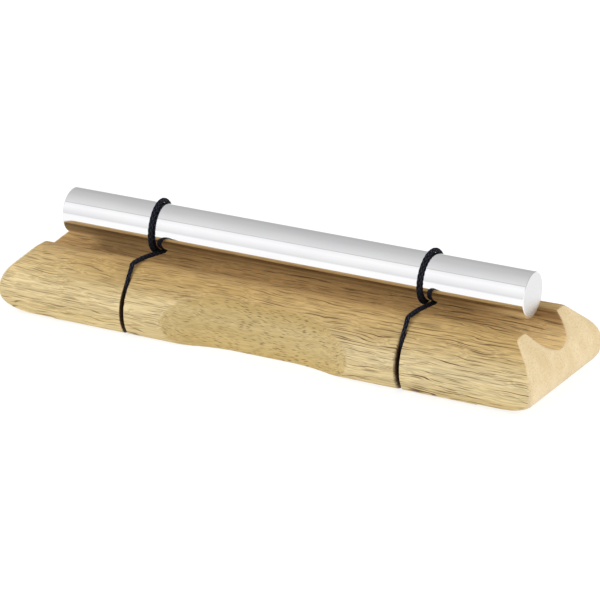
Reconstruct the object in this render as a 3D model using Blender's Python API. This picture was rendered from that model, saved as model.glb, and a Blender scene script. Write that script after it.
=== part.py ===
"""Energy chime: a solid round bar slung in two cord loops over a grooved wooden block.

Metres, +Z up, +X along the bar, -Y towards the viewer, origin under the middle of the block.
"""

import math

import bmesh
import bpy
from mathutils import Vector

MM = 0.001

# Wooden block: its sides and slightly skewed ends slope out from the lips, bulge and tuck in at the foot
BLOCK_HEIGHT = 24.0 * MM
LIP_LENGTH = 183.6 * MM
LIP_WIDTH = 6.0 * MM
GROOVE_WIDTH = 23.0 * MM
GROOVE_DEPTH = 8.0 * MM
SIDE_SLOPE = math.radians(43)
END_SLOPE = math.radians(45.5)
END_SKEW = math.radians(3)
BELLY_RADIUS = 12.7 * MM
BELLY_HEIGHT = 9.0 * MM
CORNER_RADIUS = 1.5 * MM
FOOT_CORNER_RADIUS = 3.0 * MM
SIDE_FOOT_ROUND = 1.4 * MM
END_FOOT_ROUND = 6.0 * MM
LIP_ROUND = 3.0 * MM

# Finger scoops in the two long sides, each with a straight floor that leans in towards the foot
SCOOP_LENGTH = 71.0 * MM
SCOOP_FLAT = 20.0 * MM
SCOOP_DEPTH = 6.5 * MM
SCOOP_LEAN = math.radians(5)
SCOOP_MIDDLE = -2.5 * MM

# Chime bar
BAR_DIAMETER = 16.0 * MM
BAR_LENGTH = 176.0 * MM
BAR_MIDDLE = 0.5 * MM
BAR_LIFT = 0.7 * MM
BAR_EDGE = 0.5 * MM

# Cords, which are squeezed where they lie in the saw cuts
CORD_DIAMETER = 1.9 * MM
SQUEEZED_DIAMETER = 1.1 * MM
CORD_SPACING = 105.0 * MM
CORD_MIDDLE = -0.7 * MM
LOOP_CLEARANCE = 1.1 * MM
LEFT_LOOP_SHIFT = 1.0 * MM
LEFT_LOOP_LEAN = 1.4 * MM
RIGHT_LOOP_SHIFT = -0.3 * MM
RIGHT_LOOP_LEAN = 0.3 * MM
KERF_DEPTH = 3.6 * MM
KNOT_DIAMETER = 4.4 * MM
KNOT_LENGTH = 5.6 * MM
KNOT_LIFT = 0.55 * MM

# Gap between pieces that touch on the real object
GAP = 0.3 * MM

# Where a cord thins and sinks into its saw cut, as shares of the way down the side
THINS_FROM = 0.04
SINKS_FROM = 0.20
SUNK_AT = 0.52

# Share of a free span by which it has come across from its saw cut to its loop
ACROSS_BY = 0.75

# How blunt a knot's ends are: 1 is round, less is blunter
KNOT_BLUNTNESS = 0.6

# Fineness of the round shapes
ROUND_SEGMENTS = 64
EDGE_STEPS = 4
BELLY_STEPS = 12
COVE_STEPS = 28
SCOOP_STEPS = 10
SIDE_POINTS = 8
SPAN_POINTS = 7
LOOP_POINTS = 24
KNOT_SEGMENTS = 24
KNOT_RINGS = 12
CORD_FINENESS = 2
LOOP_FINENESS = 1
SHARP_ANGLE = math.radians(35)

# Finishes
WOOD_COLOUR = (0.62, 0.44, 0.21)
WOOD_ROUGHNESS = 0.55
METAL_COLOUR = (0.80, 0.80, 0.82)
METAL_ROUGHNESS = 0.18
CORD_COLOUR = (0.012, 0.012, 0.020)
CORD_ROUGHNESS = 0.75

# Values that follow from the ones above
LIP_INNER = GROOVE_WIDTH / 2
LIP_OUTER = LIP_INNER + LIP_WIDTH
COVE_RADIUS = (LIP_INNER**2 + GROOVE_DEPTH**2) / (2 * GROOVE_DEPTH)
SCOOP_RUN = (SCOOP_LENGTH - SCOOP_FLAT) / 2
SCOOP_RADIUS = (SCOOP_RUN**2 + SCOOP_DEPTH**2) / (2 * SCOOP_DEPTH)
BAR_RADIUS = BAR_DIAMETER / 2
BAR_HEIGHT = BLOCK_HEIGHT + BAR_LIFT + BAR_RADIUS
CORD_RADIUS = CORD_DIAMETER / 2
CORD_STEP = 2 * CORD_DIAMETER
SQUEEZED_RADIUS = SQUEEZED_DIAMETER / 2
KERF_WIDTH = SQUEEZED_DIAMETER + 2 * GAP
LIP_RIDE = GAP + CORD_RADIUS
UNDER_CORD = KERF_DEPTH - GAP - SQUEEZED_RADIUS
KNOT_HEIGHT = KNOT_LIFT + KNOT_DIAMETER / 2
LOOP_RADIUS = BAR_RADIUS + LIP_RIDE
LOOP_STEP = CORD_DIAMETER + LOOP_CLEARANCE
OUTSIDE = 4 * KERF_DEPTH


def clear_scene():
    """Removes whatever the file holds."""
    for obj in list(bpy.data.objects):
        bpy.data.objects.remove(obj, do_unlink=True)


def material(name, colour, roughness, metallic=0.0):
    """A plain finish for one kind of piece."""
    made = bpy.data.materials.new(name)
    made.use_nodes = True
    shader = made.node_tree.nodes["Principled BSDF"]
    shader.inputs["Base Color"].default_value = (*colour, 1.0)
    shader.inputs["Roughness"].default_value = roughness
    shader.inputs["Metallic"].default_value = metallic
    return made


def place(name, data, parent=None, finish=None):
    """Puts mesh or curve data into the scene as a named object."""
    obj = bpy.data.objects.new(name, data)
    bpy.context.scene.collection.objects.link(obj)
    obj.parent = parent
    if finish:
        data.materials.append(finish)
    return obj


def skin(name, rings):
    """A closed mesh over equal rings of points, each ring anticlockwise seen from the last one's side."""
    mesh = bpy.data.meshes.new(name)
    bm = bmesh.new()
    loops = [[bm.verts.new(point) for point in ring] for ring in rings]
    count = len(loops[0])
    for lower, upper in zip(loops, loops[1:]):
        for i in range(count):
            j = (i + 1) % count
            bm.faces.new((lower[i], lower[j], upper[j], upper[i]))
    bm.faces.new(list(reversed(loops[0])))
    bm.faces.new(loops[-1])
    bm.to_mesh(mesh)
    bm.free()
    mesh.shade_smooth()
    mesh.set_sharp_from_angle(angle=SHARP_ANGLE)
    return mesh


def whole_turn(count):
    """Evenly spaced angles round a circle."""
    return [2 * math.pi * i / count for i in range(count)]


def arc_angles(reach, steps):
    """Evenly spaced angles from minus a reach to plus that reach."""
    return [reach * (2 * i / steps - 1) for i in range(steps + 1)]


def ramp(value, low, high):
    """0 below low, 1 above high and a smooth climb between."""
    t = min(max((value - low) / (high - low), 0.0), 1.0)
    return t * t * (3 - 2 * t)


def slope_end(slope):
    """The height where a straight slope runs into the belly's arc."""
    return BELLY_HEIGHT + BELLY_RADIUS * math.sin(slope)


def belly_axis(slope):
    """How far the belly arc's centre lies out past the lip's edge, which is less than nothing."""
    return (BLOCK_HEIGHT - slope_end(slope)) * math.tan(slope) - BELLY_RADIUS * math.cos(slope)


def lip_run(slope):
    """How far the rounded edge of the lip reaches along the lip and down the slope."""
    return LIP_ROUND * math.tan((math.pi / 2 - slope) / 2)


def flare(height, slope):
    """How far a side or an end stands out past the lip's edge at a height."""
    if height > BLOCK_HEIGHT - lip_run(slope) * math.cos(slope):
        rise = height - BLOCK_HEIGHT + LIP_ROUND
        return math.sqrt(max(LIP_ROUND**2 - rise**2, 0.0)) - lip_run(slope)
    if height > slope_end(slope):
        return (BLOCK_HEIGHT - height) * math.tan(slope)
    return belly_axis(slope) + math.sqrt(max(BELLY_RADIUS**2 - (height - BELLY_HEIGHT) ** 2, 0.0))


BELLY_EDGE = LIP_OUTER + flare(BELLY_HEIGHT, SIDE_SLOPE)


def foot_inset(height, radius):
    """How far a rounded foot draws a side or an end in at a height."""
    share = min(height / radius, 1.0)
    return radius * (1 - math.sqrt(share * (2 - share)))


def block_levels():
    """Heights up the block, closer together at its rounded foot and lips."""
    turn = [math.pi / 2 * i / EDGE_STEPS for i in range(EDGE_STEPS + 1)]
    foot = [SIDE_FOOT_ROUND * (1 - math.cos(t)) for t in turn]
    lip = [BLOCK_HEIGHT - lip_run(SIDE_SLOPE) * math.cos(SIDE_SLOPE) * (1 - math.sin(t)) for t in turn]
    rise = (lip[0] - foot[-1]) / BELLY_STEPS
    belly = [foot[-1] + rise * i for i in range(1, BELLY_STEPS)]
    return foot + belly + lip


def block_outline(height):
    """The block's outline at one height: an oblong with rounded corners and slightly skewed ends."""
    half_x = LIP_LENGTH / 2 + flare(height, END_SLOPE) - foot_inset(height, END_FOOT_ROUND)
    half_y = LIP_OUTER + flare(height, SIDE_SLOPE) - foot_inset(height, SIDE_FOOT_ROUND)
    corner = FOOT_CORNER_RADIUS + ramp(height, 0.0, BELLY_HEIGHT) * (CORNER_RADIUS - FOOT_CORNER_RADIUS)
    points = []
    for quarter, (side_x, side_y) in enumerate(((1, 1), (-1, 1), (-1, -1), (1, -1))):
        for i in range(EDGE_STEPS + 1):
            angle = math.pi / 2 * (quarter + i / EDGE_STEPS)
            x = side_x * (half_x - corner) + corner * math.cos(angle)
            y = side_y * (half_y - corner) + corner * math.sin(angle)
            points.append((x + y * math.tan(END_SKEW), y, height))
    return points


def cutter(name, mesh, location=(0, 0, 0)):
    """A hidden shape that is taken away from the block."""
    obj = place(name, mesh)
    obj.location = location
    obj.hide_render = True
    obj.display_type = "WIRE"
    return obj


def slab(name, outline, thickness):
    """A flat plate across X from an outline of (y, z) points, anticlockwise seen from +X."""
    return skin(name, [[(x, y, z) for y, z in outline] for x in (-thickness / 2, thickness / 2)])


def cove_cutter():
    """The round-bottomed groove that runs the length of the block."""
    centre = BLOCK_HEIGHT - GROOVE_DEPTH + COVE_RADIUS
    reach = math.asin(LIP_INNER / COVE_RADIUS)
    if centre < BLOCK_HEIGHT:
        reach = math.pi - reach
    outline = []
    for angle in arc_angles(reach, COVE_STEPS):
        outline.append((COVE_RADIUS * math.sin(angle), centre - COVE_RADIUS * math.cos(angle)))
    top = BLOCK_HEIGHT + OUTSIDE
    outline += [(LIP_INNER, top), (-LIP_INNER, top)]
    length = LIP_LENGTH + 2 * (flare(BELLY_HEIGHT, END_SLOPE) + OUTSIDE)
    return cutter("cut_groove", slab("cut_groove", outline, length))


def scoop_cutter(name, side):
    """The shape that bites a finger scoop out of one long side: straight, with an arc at each end."""
    reach = math.acos((SCOOP_RADIUS - SCOOP_DEPTH - OUTSIDE) / SCOOP_RADIUS)
    floor = BELLY_EDGE - SCOOP_DEPTH
    outline = []
    for end in (-1, 1):
        for i in range(SCOOP_STEPS + 1):
            angle = reach * (i if end > 0 else SCOOP_STEPS - i) / SCOOP_STEPS
            x = end * (SCOOP_FLAT / 2 + SCOOP_RADIUS * math.sin(angle))
            y = floor + SCOOP_RADIUS * (1 - math.cos(angle))
            outline.append((x, y))
    rings = []
    for z in (-OUTSIDE, BLOCK_HEIGHT + OUTSIDE):
        out = (z - BELLY_HEIGHT) * math.tan(SCOOP_LEAN)
        rings.append([(side * x, side * (y + out), z) for x, y in outline])
    return cutter(name, skin(name, rings), (SCOOP_MIDDLE, 0, 0))


def side_point(share, offset):
    """A point beside the block's long side, a share of the way down it and an offset out from it."""
    slope_run = (BLOCK_HEIGHT - slope_end(SIDE_SLOPE)) / math.cos(SIDE_SLOPE)
    foot_angle = math.asin(min(BELLY_HEIGHT / BELLY_RADIUS, 1.0))
    down = share * (slope_run + BELLY_RADIUS * (SIDE_SLOPE + foot_angle))
    if down < slope_run:
        angle = SIDE_SLOPE
        edge = Vector((LIP_OUTER + down * math.sin(angle), BLOCK_HEIGHT - down * math.cos(angle)))
    else:
        angle = SIDE_SLOPE - (down - slope_run) / BELLY_RADIUS
        out = LIP_OUTER + belly_axis(SIDE_SLOPE) + BELLY_RADIUS * math.cos(angle)
        edge = Vector((out, BELLY_HEIGHT + BELLY_RADIUS * math.sin(angle)))
    return edge + Vector((math.cos(angle), math.sin(angle))) * offset


def cord_radius(share):
    """The cord's radius as it goes down the side: it is squeezed before it sinks in."""
    return CORD_RADIUS + ramp(share, THINS_FROM, SINKS_FROM) * (SQUEEZED_RADIUS - CORD_RADIUS)


def cord_offset(share):
    """How far the cord's middle stands out from the side."""
    proud = GAP + cord_radius(share)
    return proud - ramp(share, SINKS_FROM, SUNK_AT) * (proud + UNDER_CORD)


def smooth_path(knots, spacing):
    """Points about a spacing apart along a smooth curve through the knots."""
    ends = [2 * knots[0] - knots[1]] + list(knots) + [2 * knots[-1] - knots[-2]]
    path = [knots[0]]
    for a, b, c, d in zip(ends, ends[1:], ends[2:], ends[3:]):
        steps = max(1, round((c - b).length / spacing))
        for i in range(1, steps + 1):
            t = i / steps
            bend = 2 * a - 5 * b + 4 * c - d
            twist = 3 * b - a - 3 * c + d
            path.append(b + 0.5 * t * ((c - a) + t * (bend + t * twist)))
    return path


def strap_path():
    """One cord's way down one side, as (out, up, radius): over the lip, down the side, under to the knot."""
    over = BLOCK_HEIGHT + LIP_RIDE
    route = [Vector((LIP_INNER, over, CORD_RADIUS)), Vector((LIP_INNER + LIP_WIDTH / 2, over, CORD_RADIUS))]
    for i in range(SIDE_POINTS):
        share = i / SIDE_POINTS
        point = side_point(share, cord_offset(share))
        if point.y > UNDER_CORD + KERF_DEPTH:
            route.append(Vector((*point, cord_radius(share))))
    route.append(Vector((BELLY_EDGE - 2 * KERF_DEPTH, UNDER_CORD, SQUEEZED_RADIUS)))
    route.append(Vector((LIP_INNER, UNDER_CORD, SQUEEZED_RADIUS)))
    route.append(Vector((KNOT_LENGTH / 2 + GAP, KNOT_HEIGHT, SQUEEZED_RADIUS)))
    return smooth_path(route, CORD_STEP)


def kerf_cutter(name, along):
    """A saw cut right round the sides and underside, with its floor just inside the cord."""
    path = [point.xy for point in strap_path()]
    floor = []
    for before, here, after in zip(path, path[1:], path[2:]):
        heading = (after - before).normalized()
        floor.append(here + Vector((heading.y, -heading.x)) * (SQUEEZED_RADIUS + GAP))
    sunk = [point for point in floor if point.y < BLOCK_HEIGHT]
    outline = [(point.x, point.y) for point in reversed(sunk)]
    outline += [(BELLY_EDGE + OUTSIDE, sunk[0].y), (BELLY_EDGE + OUTSIDE, -OUTSIDE)]
    outline += [(-y, z) for y, z in reversed(outline)]
    outline.reverse()
    return cutter(name, slab(name, outline, KERF_WIDTH), (along, 0, 0))


def pocket_cutter(name, along):
    """The recess in the underside that hides a knot."""
    radius = KNOT_LENGTH / 2 + 2 * GAP
    top = KNOT_HEIGHT + KNOT_DIAMETER / 2 + GAP
    turn = whole_turn(ROUND_SEGMENTS)
    rings = [[(radius * math.cos(a), radius * math.sin(a), z) for a in turn] for z in (-OUTSIDE, top)]
    return cutter(name, skin(name, rings), (along, 0, 0))


def cord_places():
    """The two cords by name, with each one's place along the block and its loop's shift and lean."""
    left = ("left", CORD_MIDDLE - CORD_SPACING / 2, LEFT_LOOP_SHIFT, LEFT_LOOP_LEAN)
    right = ("right", CORD_MIDDLE + CORD_SPACING / 2, RIGHT_LOOP_SHIFT, RIGHT_LOOP_LEAN)
    return left, right


def make_block(finish):
    """The wooden block with its groove, scoops, saw cuts and knot recesses."""
    mesh = skin("base_block", [block_outline(height) for height in block_levels()])
    block = place("base_block", mesh, finish=finish)
    cutters = [cove_cutter(), scoop_cutter("cut_near_scoop", -1), scoop_cutter("cut_far_scoop", 1)]
    for side, along, _, _ in cord_places():
        cutters.append(kerf_cutter("cut_%s_kerf" % side, along))
        cutters.append(pocket_cutter("cut_%s_pocket" % side, along))
    for tool in cutters:
        cut = block.modifiers.new(tool.name, "BOOLEAN")
        cut.operation = "DIFFERENCE"
        cut.solver = "EXACT"
        cut.object = tool
    return block


def make_bar(parent, finish):
    """The solid chime bar, turned about its own axis, with broken edges."""
    half = BAR_LENGTH / 2
    profile = [(-half, BAR_RADIUS - BAR_EDGE), (-half + BAR_EDGE, BAR_RADIUS)]
    profile += [(half - BAR_EDGE, BAR_RADIUS), (half, BAR_RADIUS - BAR_EDGE)]
    turn = whole_turn(ROUND_SEGMENTS)
    rings = [[(x, radius * math.cos(a), radius * math.sin(a)) for a in turn] for x, radius in profile]
    bar = place("chime_bar", skin("chime_bar", rings), parent, finish)
    bar.location.x = BAR_MIDDLE
    return bar


def tube(name, points, radii, fineness, finish, parent=None):
    """A stretch of cord along points."""
    data = bpy.data.curves.new(name, "CURVE")
    data.dimensions = "3D"
    data.bevel_depth = CORD_RADIUS
    data.bevel_resolution = fineness
    data.use_fill_caps = True
    spline = data.splines.new("POLY")
    spline.points.add(len(points) - 1)
    for target, point, radius in zip(spline.points, points, radii):
        target.co = (*point, 1.0)
        target.radius = radius / CORD_RADIUS
    return place(name, data, parent, finish)


def span_tangent():
    """Where a cord leaves the lip and meets its loop under the bar, as (out, up), and its heading between."""
    start = Vector((LIP_INNER, BLOCK_HEIGHT + LIP_RIDE))
    to_bar = Vector((0, BAR_HEIGHT)) - start
    swing = math.asin(LOOP_RADIUS / to_bar.length)
    angle = math.atan2(to_bar.y, -to_bar.x) - swing
    heading = Vector((-math.cos(angle), math.sin(angle)))
    touch = start + heading * math.sqrt(to_bar.length**2 - LOOP_RADIUS**2)
    return start, touch, heading


def loop_lead():
    """The angle before the lowest point at which a cord meets its loop."""
    touch = span_tangent()[1]
    return math.atan2(touch.x, BAR_HEIGHT - touch.y)


def loop_shift(angle, lean):
    """How far along the bar a loop's cord lies at an angle past its lowest point, on its way round."""
    share = (angle + loop_lead()) / (2 * math.pi + 2 * loop_lead())
    return LOOP_STEP * (0.5 - share) - lean * math.sin(angle)


def make_span(name, along, shift, lean, side, finish):
    """A free stretch from the lip to the loop under the bar. side is -1 near the viewer, 1 far."""
    start, touch, heading = span_tangent()
    first = start + heading * GAP
    last = touch - heading * (CORD_DIAMETER + GAP)
    meets_at = -loop_lead() if side < 0 else 2 * math.pi + loop_lead()
    drift = shift + loop_shift(meets_at, lean)
    points = []
    for i in range(SPAN_POINTS):
        share = i / (SPAN_POINTS - 1)
        point = first.lerp(last, share)
        points.append((along + drift * ramp(share, 0.0, ACROSS_BY), side * point.x, point.y))
    return tube(name, points, [CORD_RADIUS] * SPAN_POINTS, CORD_FINENESS, finish)


def make_tail(name, along, side, finish):
    """A still stretch: over the lip, down the side and under the block to the knot."""
    path = strap_path()
    points = [(along, side * out, up) for out, up, _ in path]
    return tube(name, points, [radius for _, _, radius in path], CORD_FINENESS, finish)


def make_loop(name, along, lean, parent, finish):
    """One turn round the bar, from the near span up behind, over, down in front and under to the far span."""
    heading = span_tangent()[2]
    lead = loop_lead()
    points = []
    for i in range(LOOP_POINTS + 1):
        angle = (2 * math.pi + 2 * lead) * i / LOOP_POINTS - lead
        x = loop_shift(angle, lean)
        points.append(Vector((x, LOOP_RADIUS * math.sin(angle), -LOOP_RADIUS * math.cos(angle))))
    arriving = Vector((0, -heading.x, heading.y))
    leaving = Vector((0, -heading.x, -heading.y))
    points.insert(0, points[0] - arriving * CORD_DIAMETER)
    points.append(points[-1] + leaving * CORD_DIAMETER)
    print(name, "least gap to itself %.2f mm" % (least_gap(points) / MM))
    placed = [p + Vector((along, 0, 0)) for p in points]
    return tube(name, placed, [CORD_RADIUS] * len(placed), LOOP_FINENESS, finish, parent)


def least_gap(points):
    """The least clear distance between stretches of a loop that lie at least half a turn apart."""
    apart = len(points) // 2
    pairs = [(p - q).length for i, p in enumerate(points) for q in points[i + apart:]]
    return min(pairs) - CORD_DIAMETER


def make_knot(name, along, finish):
    """The knot that ties a cord's two ends, tucked in its recess."""
    turn = whole_turn(KNOT_SEGMENTS)
    rings = []
    for i in range(1, KNOT_RINGS):
        lean = math.pi * i / KNOT_RINGS
        radius = KNOT_DIAMETER / 2 * math.sin(lean) ** KNOT_BLUNTNESS
        out = -KNOT_LENGTH / 2 * math.cos(lean)
        rings.append([(radius * math.sin(a), out, radius * math.cos(a)) for a in turn])
    knot = place(name, skin(name, rings), finish=finish)
    knot.location = (along, 0, KNOT_HEIGHT)
    return knot


def make_cord(side, along, shift, lean, carrier, finish):
    """One cord: two tails, two spans, the loop round the bar and the knot."""
    make_loop("%s_cord_loop" % side, along + shift, lean, carrier, finish)
    for where, sign in (("near", -1), ("far", 1)):
        make_span("%s_cord_%s_span" % (side, where), along, shift, lean, sign, finish)
        make_tail("%s_cord_%s_tail" % (side, where), along, sign, finish)
    make_knot("%s_cord_knot" % side, along, finish)


def main():
    """Builds the whole chime."""
    clear_scene()
    wood = material("pale wood", WOOD_COLOUR, WOOD_ROUGHNESS)
    metal = material("polished aluminium", METAL_COLOUR, METAL_ROUGHNESS, 1.0)
    string = material("black cord", CORD_COLOUR, CORD_ROUGHNESS)
    carrier = place("bar_axis", None)
    carrier.location = (0, 0, BAR_HEIGHT)
    make_block(wood)
    make_bar(carrier, metal)
    for side, along, shift, lean in cord_places():
        make_cord(side, along, shift, lean, carrier, string)


main()
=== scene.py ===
"""The looks of the energy chime: sanded wood, a polished bar, braided cords, and the studio round them.

Metres, +Z up, +X along the bar, -Y towards the viewer, origin under the middle of the block.
"""

import math

import bpy
import numpy as np
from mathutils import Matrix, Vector


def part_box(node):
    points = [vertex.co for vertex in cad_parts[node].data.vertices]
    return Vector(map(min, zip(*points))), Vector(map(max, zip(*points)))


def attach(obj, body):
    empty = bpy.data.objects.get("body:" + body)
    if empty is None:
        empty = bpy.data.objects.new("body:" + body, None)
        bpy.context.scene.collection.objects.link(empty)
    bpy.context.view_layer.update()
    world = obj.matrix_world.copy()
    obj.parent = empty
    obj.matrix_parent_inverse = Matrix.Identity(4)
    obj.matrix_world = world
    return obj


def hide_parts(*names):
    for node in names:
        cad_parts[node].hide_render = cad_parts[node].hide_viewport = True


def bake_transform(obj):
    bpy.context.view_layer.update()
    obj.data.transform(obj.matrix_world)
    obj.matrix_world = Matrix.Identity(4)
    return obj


MM = 0.001

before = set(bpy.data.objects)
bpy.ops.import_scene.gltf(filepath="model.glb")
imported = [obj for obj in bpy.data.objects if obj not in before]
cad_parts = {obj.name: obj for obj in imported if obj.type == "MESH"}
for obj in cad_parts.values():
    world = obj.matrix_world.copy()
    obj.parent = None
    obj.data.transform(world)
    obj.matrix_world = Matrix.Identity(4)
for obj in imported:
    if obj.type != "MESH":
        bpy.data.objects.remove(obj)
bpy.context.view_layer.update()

# Wooden block, as in the CAD model but for crisper corners
BLOCK_HEIGHT = 24.0 * MM
LIP_LENGTH = 183.6 * MM
LIP_WIDTH = 6.0 * MM
GROOVE_WIDTH = 23.0 * MM
GROOVE_DEPTH = 8.0 * MM
SIDE_SLOPE = math.radians(43)
END_SLOPE = math.radians(45.5)
END_SKEW = math.radians(3)
BELLY_RADIUS = 12.7 * MM
BELLY_HEIGHT = 9.0 * MM
CORNER_RADIUS = 1.0 * MM
FOOT_CORNER_RADIUS = 3.0 * MM
SIDE_FOOT_ROUND = 1.4 * MM
END_FOOT_ROUND = 6.0 * MM
SCOOP_LENGTH = 71.0 * MM
SCOOP_FLAT = 20.0 * MM
SCOOP_DEPTH = 6.5 * MM
SCOOP_LEAN = math.radians(5)
SCOOP_MIDDLE = -2.5 * MM

# How softly the block's edges are sanded
LIP_SIDE_EDGE = 2.4 * MM
LIP_END_EDGE = 0.8 * MM
LIP_END_REACH = 30.0 * MM
GROOVE_EDGE = 0.35 * MM
SCOOP_EDGE = 0.8 * MM
KERF_EDGE = 0.12 * MM
SCOOP_TONE_DEPTH = 0.5 * MM
# How deep a saw cut is where its painted shade is full
KERF_SHADE_DEPTH = 0.45 * MM
POCKET_EDGE = 0.3 * MM

# Chime bar, as in the CAD model
BAR_LOW, BAR_HIGH = (Vector(corner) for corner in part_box("chime_bar"))
BAR_CENTRE = (BAR_LOW + BAR_HIGH) / 2
BAR_LENGTH = BAR_HIGH.x - BAR_LOW.x
BAR_RADIUS = (BAR_HIGH.z - BAR_LOW.z) / 2
BAR_EDGE = 0.5 * MM
BAR_SEGMENTS = 160
BAR_EDGE_STEPS = 5
BAR_END_RINGS = (0.85, 0.5, 0.2)
END_FACING = 0.98

# Cords, as in the CAD model but thinner and pulled tight against the wood and the bar
CORD_RADIUS = 0.86 * MM
SQUEEZED_RADIUS = 0.70 * MM
CORD_SPACING = 105.0 * MM
CORD_MIDDLE = -0.7 * MM
LOOP_STEP = 3.0 * MM
LEFT_LOOP_SHIFT = 1.0 * MM
LEFT_LOOP_LEAN = 1.4 * MM
RIGHT_LOOP_SHIFT = -0.3 * MM
RIGHT_LOOP_LEAN = 0.3 * MM
THINS_FROM = 0.04
SINKS_FROM = 0.17
SUNK_AT = 0.47
SIDE_POINTS = 16
SPAN_STEPS = 6
LOOP_STEPS = 24

# Saw cuts that hold the cords, and the recesses that hide the knots
KERF_WIDTH = 1.5 * MM
KERF_DEPTH = 3.6 * MM
KERF_TOP = 21.5 * MM
KERF_FULL = 13.0 * MM
POCKET_RADIUS = 3.4 * MM
POCKET_DEPTH = 5.25 * MM

# Knots
KNOT_HEIGHT = 2.75 * MM
KNOT_REACH = 2.3 * MM
KNOT_RISE = 0.9 * MM
KNOT_CORD_RADIUS = 0.7 * MM
KNOT_POINTS = 90

# Braid of the cords
BRAID_SEGMENTS = 20
BRAID_SPACING = 0.2 * MM
BRAID_LUMP = 2.0 * MM
BRAID_STRANDS = 2
BRAID_DEPTH = 0.27
CUT_END_FROM = math.radians(70)

# Fineness of the block's skin
SKIN_STEP = (1.0 * MM, 0.9 * MM, 0.8 * MM)
FINE_STEP = 0.3 * MM
FINE_REACH = 1.2 * MM
KERF_STEP = 0.16 * MM
SKIN_MARGIN = 1.37 * MM
SETTLING_ROUNDS = 4
LAST_SETTLES = 3
LEAST_STEEPNESS = 0.25
NUDGE = 0.01 * MM
SHARP_FROM = math.radians(40)

# Camera, fitted to the bar's outline
VIEW_AZIMUTH = math.radians(27.44)
VIEW_ELEVATION = math.radians(21.26)
VIEW_DISTANCE = 1138.0 * MM
FRAME_PIXELS = 600
FOCAL_PIXELS = 3342
SENSOR_WIDTH = 36.0
BAR_PIXEL = (295.9, 250.7)
NEAR_CLIP = 10.0 * MM

# Colours of the wood, as a darker and a lighter one where there are two
PALE_WOOD = ((0.69, 0.542, 0.278), (0.755, 0.612, 0.343))
# Golden wood higher up the sides: partly the wood's own tone, partly painted shade from the bar above
GOLDEN_WOOD_AND_SHADE = ((0.475, 0.310, 0.108), (0.58, 0.398, 0.160))
# The palest wood, towards the left end
PALEST_WOOD = (0.80, 0.690, 0.440)
# Painted shade: brown under the bar, on the lips and the tops of the sides
BAR_SHADE_WOOD = (0.42, 0.235, 0.078)
RING_WOOD = (0.50, 0.335, 0.130)
SCOOP_WOOD = (0.47, 0.325, 0.098)
PORE_WOOD = (0.110, 0.057, 0.017)
KERF_SHADE_WOOD = (0.075, 0.040, 0.018)
# Painted shade, dark brown, inside the saw cuts
FOOT_TINT = (0.98, 0.94, 0.81)
END_GRAIN = ((0.62, 0.478, 0.268), (0.70, 0.565, 0.353))
END_SPECKS = (0.45, 0.310, 0.140)
# Groove browns: painted shade along the floor under the bar and at the rim, the walls' own brown, painted
# light at the right end, and darker at the left
GROOVE_FLOOR_SHADE = (0.40, 0.225, 0.080)
GROOVE_WALLS = (0.70, 0.430, 0.165)
GROOVE_RIM_SHADE = (0.36, 0.200, 0.070)
GROOVE_LIT = (0.82, 0.575, 0.265)
GROOVE_DARK = (0.26, 0.150, 0.055)

# Where the wood's tones change: along the block, up it, or out from its middle
PALEST_ALONG = (-100.0 * MM, -60.0 * MM)
LESS_GOLDEN_ALONG = (-95.0 * MM, -55.0 * MM)
DEEPENS_ALONG = (-120.0 * MM, -45.0 * MM)
BOLDER_ALONG = (-80.0 * MM, 80.0 * MM)
# Where the painted shade under the bar fades towards the right end
BAR_SHADE_FADES_ALONG = (30.0 * MM, 75.0 * MM)
ENDS_ALONG = (80.0 * MM, 85.0 * MM)
GROOVE_DARK_ALONG = (-80.0 * MM, -50.0 * MM)
GROOVE_LIT_ALONG = (60.0 * MM, 86.0 * MM)
FOOT_UP = (1.0 * MM, 11.0 * MM)
GROOVE_UP = (11.0 * MM, 13.0 * MM)
GOLDEN_AND_SHADE_UP = (11.0 * MM, 23.0 * MM)
GROOVE_LIT_UP = (17.0 * MM, 21.5 * MM)
GROOVE_RIM_SHADE_UP = (18.0 * MM, 22.0 * MM)
GROOVE_FLOOR_SHADE_OUT = (3.5 * MM, 5.6 * MM)
GROOVE_LOW_LINE = -1.0 * MM
GROOVE_BLUR = 0.4 * MM
# How far past the lip's outer edge the painted shade under the bar reaches
BAR_SHADE_REACH = 4.0 * MM
ENDS_FACING = (0.22, 0.42)

# Grain: how many to a metre along it and across it, and how far it sways
SWAYS = (18, 45)
RIPPLES = (75, 230)
BANDS = (7, 130)
RINGS = (10, 420)
FIBRES = (26, 1900)
PATCHES = (120, 300)
SPECKS = (1900, 1900)
GRAIN_SWAY = 1.6 * MM
PORE_SWAY = 1.5 * MM
GROOVE_PORE_SWAY = 0.5 * MM
SIDE_LEAN = 0.8

# Pores: how many to a metre along the grain and across it, and their size as a share of their spacing
LONG_PORES = (19, 1150, 0.25)
SHORT_PORES = (55, 1300, 0.24)
SCOOP_PORES = (230, 1800, 0.29)
PORE_CORE = 0.25
PORE_TONE = 0.95
SHORT_PORE_TONE = 0.75
SCOOP_TONE = 0.48

# Gloss and roughness of the wood
WOOD_ROUGHNESS = (0.48, 0.62)
WOOD_GLOSS = 0.3
WOOD_RELIEF = 0.05 * MM
WOOD_RELIEF_STRENGTH = 0.6
FIBRE_RELIEF = 0.4

# Polished and turned aluminium, with drawn lines and clouds counted to a metre
METAL_TINTS = ((0.89, 0.89, 0.905), (0.93, 0.93, 0.94))
METAL_ROUGHNESS = (0.045, 0.075)
DRAWN_LINES = (14, 2600)
DRAWN_RELIEF = 0.0012 * MM
CLOUDS = (40, 160)
TURNED_TINTS = ((0.725, 0.722, 0.730), (0.805, 0.800, 0.805))
TURNED_ROUGHNESS = (0.22, 0.34)
TURNED_RELIEF = 0.004 * MM
LATHE_RINGS = 500
LATHE_WOBBLE = 0.6
METAL_RELIEF_STRENGTH = 0.5

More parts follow.
